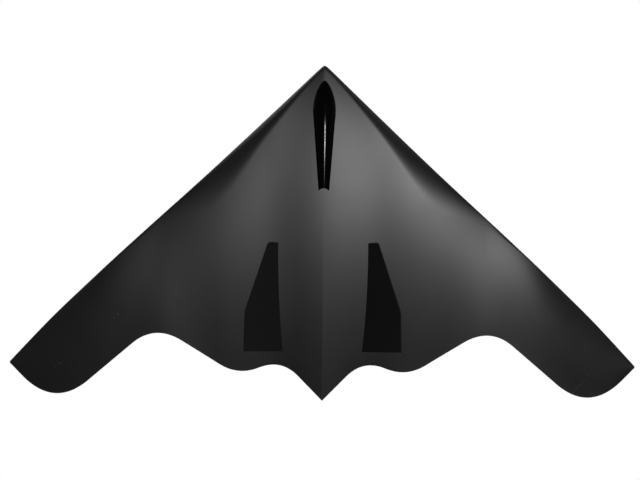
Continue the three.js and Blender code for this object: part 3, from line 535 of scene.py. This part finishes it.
def plan_solid(name, xs, shares, upper, lower):
    """A closed solid over part of the plan, between two height functions of x and y."""
    return grid_solid(name, plan_grid(xs, shares, upper), plan_grid(xs, shares, lower))


def half_body(name, upper, lower):
    """The whole centre body's upper or lower half."""
    return plan_solid(name, body_xs, chord_shares, upper, lower)


def cavity(name, upper, lower):
    """The room inside the centre body."""
    return plan_solid(name, cavity_xs, cavity_shares, upper, lower)


def canopy_half_width(y):
    """The teardrop canopy: a full nose and a nearly straight taper aft."""
    taper = (CANOPY_WIDEST_Y - y) / (CANOPY_WIDEST_Y - canopy_low.y)
    aft = CANOPY_HALF_WIDTH + (CANOPY_BACK_HALF_WIDTH - CANOPY_HALF_WIDTH) * taper
    share = np.clip((y - CANOPY_WIDEST_Y) / (CANOPY_APEX_Y - CANOPY_WIDEST_Y), 0, 1)
    fore = CANOPY_HALF_WIDTH * (1 - share**2) ** CANOPY_NOSE_FULLNESS
    return np.where(y < CANOPY_WIDEST_Y, aft, fore)


def ridge_height(y):
    """Height of the canopy's ridge above the skin: a quick rise behind the nose, then a slow fall aft."""
    share = (canopy_high.y - y) / (canopy_high.y - canopy_low.y)
    rise, fall, fullness = 1.35, 0.3, 0.8
    return CANOPY_HEIGHT * np.sin(np.pi * np.minimum(share * rise, 0.5 + share * fall)) ** fullness


def canopy_grid(grow, end_grow, height, rows=90, columns=41):
    """Points over the canopy's plan, widened and lengthened by a little, at the height a function gives."""
    y, share = np.meshgrid(
        np.linspace(canopy_low.y, canopy_high.y, rows), np.linspace(-1, 1, columns), indexing="ij"
    )
    x = share * np.maximum(canopy_half_width(y) + grow, CANOPY_LEAST_HALF_WIDTH)
    z = height(x, y, share)
    stretched = y.copy()
    stretched[0] -= end_grow
    stretched[-1] += end_grow
    return np.stack([x, stretched, z], axis=-1)


def canopy_prism(name, grow, end_grow, depth):
    """A cutter of the canopy's plan shape, from well above the body down to a depth below its skin."""
    above = canopy_grid(grow, end_grow, lambda x, y, s: upper_height(x, y) + 10 * OVERRUN)
    below = canopy_grid(grow, end_grow, lambda x, y, s: upper_height(x, y) - depth)
    return grid_solid(name, above, below)


def super_ring(centre, across, along, exponent, points=20):
    """A closed superellipse from its centre and two half axes: exponent 2 is an ellipse, more is squarer."""
    angles = np.linspace(0, 2 * np.pi, points, endpoint=False)

    def power(values):
        return (np.sign(values) * np.abs(values) ** (2 / exponent))[:, None]

    return centre + power(np.cos(angles)) * across + power(np.sin(angles)) * along


def loft_solid(name, rings):
    """A closed solid through rings of equal point counts."""
    count = len(rings[0])
    faces = [tuple(reversed(range(count)))]
    for r in range(len(rings) - 1):
        for k in range(count):
            a, b = r * count + k, r * count + (k + 1) % count
            faces.append((a, b, b + count, a + count))
    last = (len(rings) - 1) * count
    faces.append(tuple(range(last, last + count)))
    made = bmesh.new()
    corners = [made.verts.new(point) for point in np.concatenate(rings)]
    for face in faces:
        made.faces.new([corners[k] for k in face])
    bmesh.ops.triangulate(made, faces=made.faces)
    return link_bmesh(name, made)


def inlet_hole():
    """The intake's outside: a quarter turn from the belly up to the fan."""
    pivot = np.array([0, shroud_high.y, lower_height(0, INLET_BACK) - OVERRUN])
    lip_radius = (INLET_FRONT + INLET_BACK) / 2 - pivot[1]
    fan_radius = FAN_Z - pivot[2]
    rings = []
    for t in np.linspace(0, 1, 7):
        outward = np.array([0, math.cos(t * math.pi / 2), math.sin(t * math.pi / 2)])
        centre = pivot + outward * (lip_radius + (fan_radius - lip_radius) * t)
        half_width = INLET_HALF_WIDTH + (FAN_R - INLET_HALF_WIDTH) * t + DUCT_HOLE
        across = np.array([half_width, 0, 0])
        squareness = 4 - 2 * t  # from a squarish mouth to the fan's circle
        rings.append(super_ring(centre, across, outward * (FAN_R + DUCT_HOLE), squareness))
    return loft_solid("inlet_hole", rings)


def pipe_hole():
    """The jet pipe's outside: it flattens as it drops aft and out through the belly."""
    bend_y, bend_z = -205 * MM, CHORD_PLANE - 10 * MM
    end_y, end_z = -300 * MM, CHORD_PLANE - 29 * MM
    half_width, half_height = 33 * MM, 9.5 * MM

    def ring(y, z, wide, high, exponent):
        across = np.array([wide + DUCT_HOLE, 0, 0])
        return super_ring(np.array([0, y, z]), across, np.array([0, 0, high + DUCT_HOLE]), exponent)

    rings = []
    for t in np.linspace(0, 1, 7):
        ease = t * t * (3 - 2 * t)
        y = shroud_low.y + (bend_y - shroud_low.y) * t
        z = FAN_Z + (bend_z - FAN_Z) * t**1.5
        wide = FAN_R + (half_width - FAN_R) * ease
        high = FAN_R + (half_height - FAN_R) * ease
        rings.append(ring(y, z, wide, high, 2 + t))
    rings.append(ring(end_y, end_z, half_width, half_height, 3))
    return loft_solid("pipe_hole", rings)


def make_upper_skin():
    """The hollow upper skin with the canopy's seat and opening."""
    skin = half_body("upper_skin", upper_height, lambda x, y: mid_height(x) + SPLIT)
    hollow = cavity(
        "upper_hollow",
        lambda x, y: upper_height(x, y) - SKIN,
        lambda x, y: mid_height(x) - OVERRUN,
    )
    combine(skin, hollow, "DIFFERENCE")
    combine(skin, canopy_prism("canopy_seat", GAP, GAP, SEAT + GAP / 2), "DIFFERENCE")
    end_lip = 10 * MM
    combine(skin, canopy_prism("canopy_opening", -LIP, -end_lip, 3 * OVERRUN), "DIFFERENCE")
    return combine(skin, pipe_hole(), "DIFFERENCE")


def make_canopy():
    """A thin bubble over the seat, hollow below, with a thumb notch in its rear end."""

    def ridge(y, share):
        return ridge_height(y) * (1 - share**2)

    crown = canopy_grid(0, 0, lambda x, y, s: upper_height(x, y) + 0.1 * MM + ridge(y, s))
    floor = canopy_grid(0, 0, lambda x, y, s: upper_height(x, y) - SEAT)
    whole = grid_solid("canopy", crown, floor)

    wall, end_wall = 2.2 * MM, 8 * MM
    roof = 0.6 * MM  # least thickness left above the seat where the bubble is low
    inside = canopy_grid(
        -wall,
        -end_wall,
        lambda x, y, s: upper_height(x, y) + np.maximum(ridge(y, s) - wall, roof - SEAT),
    )
    below = canopy_grid(-wall, -end_wall, lambda x, y, s: upper_height(x, y) - SEAT - OVERRUN)
    combine(whole, grid_solid("canopy_inside", inside, below), "DIFFERENCE")

    notch_radius, notch_depth = 12 * MM, 4 * MM
    notch_centre = Matrix.Translation((0, canopy_low.y - notch_radius + notch_depth, 0))
    upright = notch_centre @ Matrix.Rotation(math.pi / 2, 4, "Y")
    reach = 200 * MM
    return combine(whole, rod_solid("thumb_notch", notch_radius, -reach, reach, 64, upright), "DIFFERENCE")


def make_belly():
    """The lower skin with its openings, and the hatch that fills the front one."""
    skin = half_body("lower_skin", lambda x, y: mid_height(x) - SPLIT, lower_height)
    hollow = cavity(
        "lower_hollow",
        lambda x, y: mid_height(x) + OVERRUN,
        lambda x, y: lower_height(x, y) + SKIN,
    )
    combine(skin, hollow, "DIFFERENCE")
    combine(skin, inlet_hole(), "DIFFERENCE")
    combine(skin, pipe_hole(), "DIFFERENCE")

    hinge = Vector(joints["belly_hatch_hinge"]["pos_m"])
    at_hinge = Matrix.Translation((0, hinge.y, hinge.z))
    low = Vector((hatch_low.x, hatch_low.y, hatch_low.z - OVERRUN))
    high = Vector((hatch_high.x, hinge.y, CHORD_PLANE))
    slack = Vector((GAP, GAP, 0))
    hatch = combine(copy_of(skin, "belly_hatch_skin"), box_solid("hatch_block", low, high), "INTERSECT")
    combine(hatch, rod_solid("hatch_nose", HATCH_NOSE_R, low.x, high.x, 48, at_hinge), "UNION")
    bore = rod_solid("hatch_bore", PIN_HOLE_R, low.x - GAP, high.x + GAP, 24, at_hinge)
    combine(hatch, bore, "DIFFERENCE")
    opening_high = high + Vector((GAP, 0, 0))
    combine(skin, box_solid("hatch_hole", low - slack, opening_high), "DIFFERENCE")
    nose_room = rod_solid("nose_room", HATCH_NOSE_R + 2 * GAP, low.x - GAP, high.x + GAP, 48, at_hinge)
    combine(skin, nose_room, "DIFFERENCE")
    return skin, hatch


lower_skin, belly_hatch = make_belly()
for piece, node in (
    (make_upper_skin(), "centre_upper_shell"),
    (lower_skin, "centre_lower_shell"),
    (belly_hatch, "belly_hatch"),
    (make_canopy(), "canopy_hatch"),
):
    smooth(piece)
    stands_for(piece, node)


# ---------------------------------------------------------------- wing panels and elevons
ELEVON_LENGTH = 174.17 * MM
ELEVON_NOSE_R = 14 * MM
ELEVON_RADIAL_GAP = 0.15 * MM
ELEVON_END_GAP = 0.12 * MM
ELEVON_REACH = 90 * MM  # from the hinge to well past the trailing edge
WING_REACH = 40 * MM  # from the hinge to well past the skin, up or down

# Rooms in the panel's underside, in millimetres in the hinge's own frame
PANEL_ROOMS = {
    "servo_room": {"x": (14.7, 40), "y": (27.7, 59.3), "roof": -1.7},
    "servo_arm_room": {"x": (39.5, 48), "y": (27, 49), "roof": -1.7},
    "horn_room": {"x": (41.4, 44.2), "y": (-1, 14), "roof": -6},
}


def hinge_matrix():
    """The right elevon hinge's own frame: x outboard along the hinge, y forward, z up."""
    joint = joints["right_elevon_hinge"]
    outboard = Vector(joint["axis"]).normalized()
    forward = Vector((0, 0, 1)).cross(outboard).normalized()
    up = outboard.cross(forward)
    turn = Matrix((outboard, forward, up)).transposed().to_4x4()
    return Matrix.Translation(joint["pos_m"]) @ turn


def elevon_zone(name, radius, end_gap):
    """The elevon's share of the wing: all that lies aft of the hinge, and a round nose about it."""
    matrix = hinge_matrix()
    start, end = -end_gap, ELEVON_LENGTH + end_gap
    aft = box_solid(name, (start, -ELEVON_REACH, -WING_REACH), (end, 0, WING_REACH), matrix)
    return combine(aft, rod_solid("nose", radius, start, end, 96, matrix), "UNION")


def cut_rooms(panel):
    """Cuts the room for the servo, its arm and the control horn out of a wing panel."""
    for name, room in PANEL_ROOMS.items():
        low = Vector((room["x"][0] * MM, room["y"][0] * MM, -WING_REACH))
        high = Vector((room["x"][1] * MM, room["y"][1] * MM, room["roof"] * MM))
        combine(panel, box_solid(name, low, high, hinge_matrix()), "DIFFERENCE")


def make_wing():
    """The right wing panel and the elevon cut out of it."""
    panel = plan_solid("right_wing_panel_skin", panel_xs, chord_shares, upper_height, lower_height)
    elevon = copy_of(panel, "right_elevon_skin")
    combine(elevon, elevon_zone("zone", ELEVON_NOSE_R, 0), "INTERSECT")
    combine(panel, elevon_zone("zone", ELEVON_NOSE_R + ELEVON_RADIAL_GAP, ELEVON_END_GAP), "DIFFERENCE")
    cut_rooms(panel)
    return panel, elevon


right_panel, right_elevon = make_wing()
for side in SIDES:
    panel = right_panel if side == "right" else mirrored(right_panel, "left_wing_panel_skin")
    elevon = right_elevon if side == "right" else mirrored(right_elevon, "left_elevon_skin")
    for piece, node in ((panel, f"{side}_wing_panel"), (elevon, f"{side}_elevon")):
        smooth(piece)
        stands_for(piece, node)


# ---------------------------------------------------------------- CAD nodes that stay
def soften(node, width=0.25 * MM):
    """Small rounded edges on a machined or moulded CAD node."""
    rounding = node.modifiers.new("rounding", "BEVEL")
    rounding.width = width
    rounding.segments = 2
    rounding.limit_method = "ANGLE"
    rounding.angle_limit = math.radians(40)


FLAT_PIECES = ("fin", "skid", "former", "deck", "battery_pack", "receiver", "controller", "horn", "servo")
for name, node in frame["nodes"].items():
    if node.hide_render:
        continue
    paint(node, slot_of[name])
    smooth(node)
    if any(word in name for word in FLAT_PIECES):
        soften(node)


# ---------------------------------------------------------------- floor, light and camera
def make_floor():
    """A white floor to the camera, but a dim one to the object, so the black pieces stay black."""
    reach = 20
    corners = [(x * reach, y * reach, -1 * MM) for x, y in ((-1, -1), (1, -1), (1, 1), (-1, 1))]
    floor = add_mesh("floor", corners, [(0, 1, 2, 3)])
    material, nodes, links, principled = new_material("floor")
    output = nodes["Material Output"]
    white = nodes.new("ShaderNodeEmission")
    clear = nodes.new("ShaderNodeBsdfTransparent")
    rays = nodes.new("ShaderNodeLightPath")
    side_seen = nodes.new("ShaderNodeNewGeometry")
    by_ray = nodes.new("ShaderNodeMixShader")
    by_side = nodes.new("ShaderNodeMixShader")
    principled.inputs["Base Color"].default_value = (0.25, 0.25, 0.25, 1)
    principled.inputs["Roughness"].default_value = 0.9
    links.new(rays.outputs["Is Camera Ray"], by_ray.inputs["Fac"])
    links.new(principled.outputs["BSDF"], by_ray.inputs[1])
    links.new(white.outputs["Emission"], by_ray.inputs[2])
    links.new(side_seen.outputs["Backfacing"], by_side.inputs["Fac"])
    links.new(by_ray.outputs["Shader"], by_side.inputs[1])
    links.new(clear.outputs["BSDF"], by_side.inputs[2])
    links.new(by_side.outputs["Shader"], output.inputs["Surface"])
    floor.data.materials.append(material)


def make_world(ambient):
    """White to the camera, and a dim even light on the object."""
    world = bpy.data.worlds.new("studio")
    world.use_nodes = True
    nodes, links = world.node_tree.nodes, world.node_tree.links
    dim = nodes["Background"]
    dim.inputs["Color"].default_value = (1, 1, 1, 1)
    dim.inputs["Strength"].default_value = ambient
    white = nodes.new("ShaderNodeBackground")
    white.inputs["Color"].default_value = (1, 1, 1, 1)
    rays = nodes.new("ShaderNodeLightPath")
    mix = nodes.new("ShaderNodeMixShader")
    links.new(rays.outputs["Is Camera Ray"], mix.inputs["Fac"])
    links.new(dim.outputs["Background"], mix.inputs[1])
    links.new(white.outputs["Background"], mix.inputs[2])
    links.new(mix.outputs["Shader"], nodes["World Output"].inputs["Surface"])
    bpy.context.scene.world = world


def add_area_light(name, direction, distance, size, power):
    """A square light that faces the origin from a direction and casts no shadow."""
    light = bpy.data.lights.new(name, "AREA")
    light.size = size
    light.energy = power
    light.use_shadow = False
    holder = bpy.data.objects.new(name, light)
    toward = Vector(direction).normalized()
    holder.location = toward * distance
    holder.rotation_mode = "QUATERNION"
    holder.rotation_quaternion = toward.to_track_quat("Z", "Y")
    bpy.context.scene.collection.objects.link(holder)


def make_camera():
    """Straight above the wing, nose up, turned half a degree and a little off centre."""
    lens = bpy.data.cameras.new("camera")
    lens.lens = 50
    lens.sensor_width = 36
    camera = bpy.data.objects.new("camera", lens)
    span_share = 0.975  # of the picture's width that the wing fills
    distance = 2 * HALF_SPAN / span_share * lens.lens / lens.sensor_width
    mean_height = 12 * MM  # of the outline above the ground
    turn = 0.0085  # radians
    camera.location = (-6.2 * MM, -11.5 * MM, distance + mean_height)
    camera.rotation_euler = (0, 0, turn)
    bpy.context.scene.collection.objects.link(camera)
    bpy.context.scene.camera = camera


make_floor()
make_world(ambient=0.074)
add_area_light("key", direction=(0.22, 0.18, 1), distance=6, size=0.6, power=252)
add_area_light("belly", direction=(-0.5, 0.6, -1), distance=6, size=3, power=200)
make_camera()

settings = bpy.context.scene.view_settings
settings.view_transform = "Standard"
settings.look = "None"
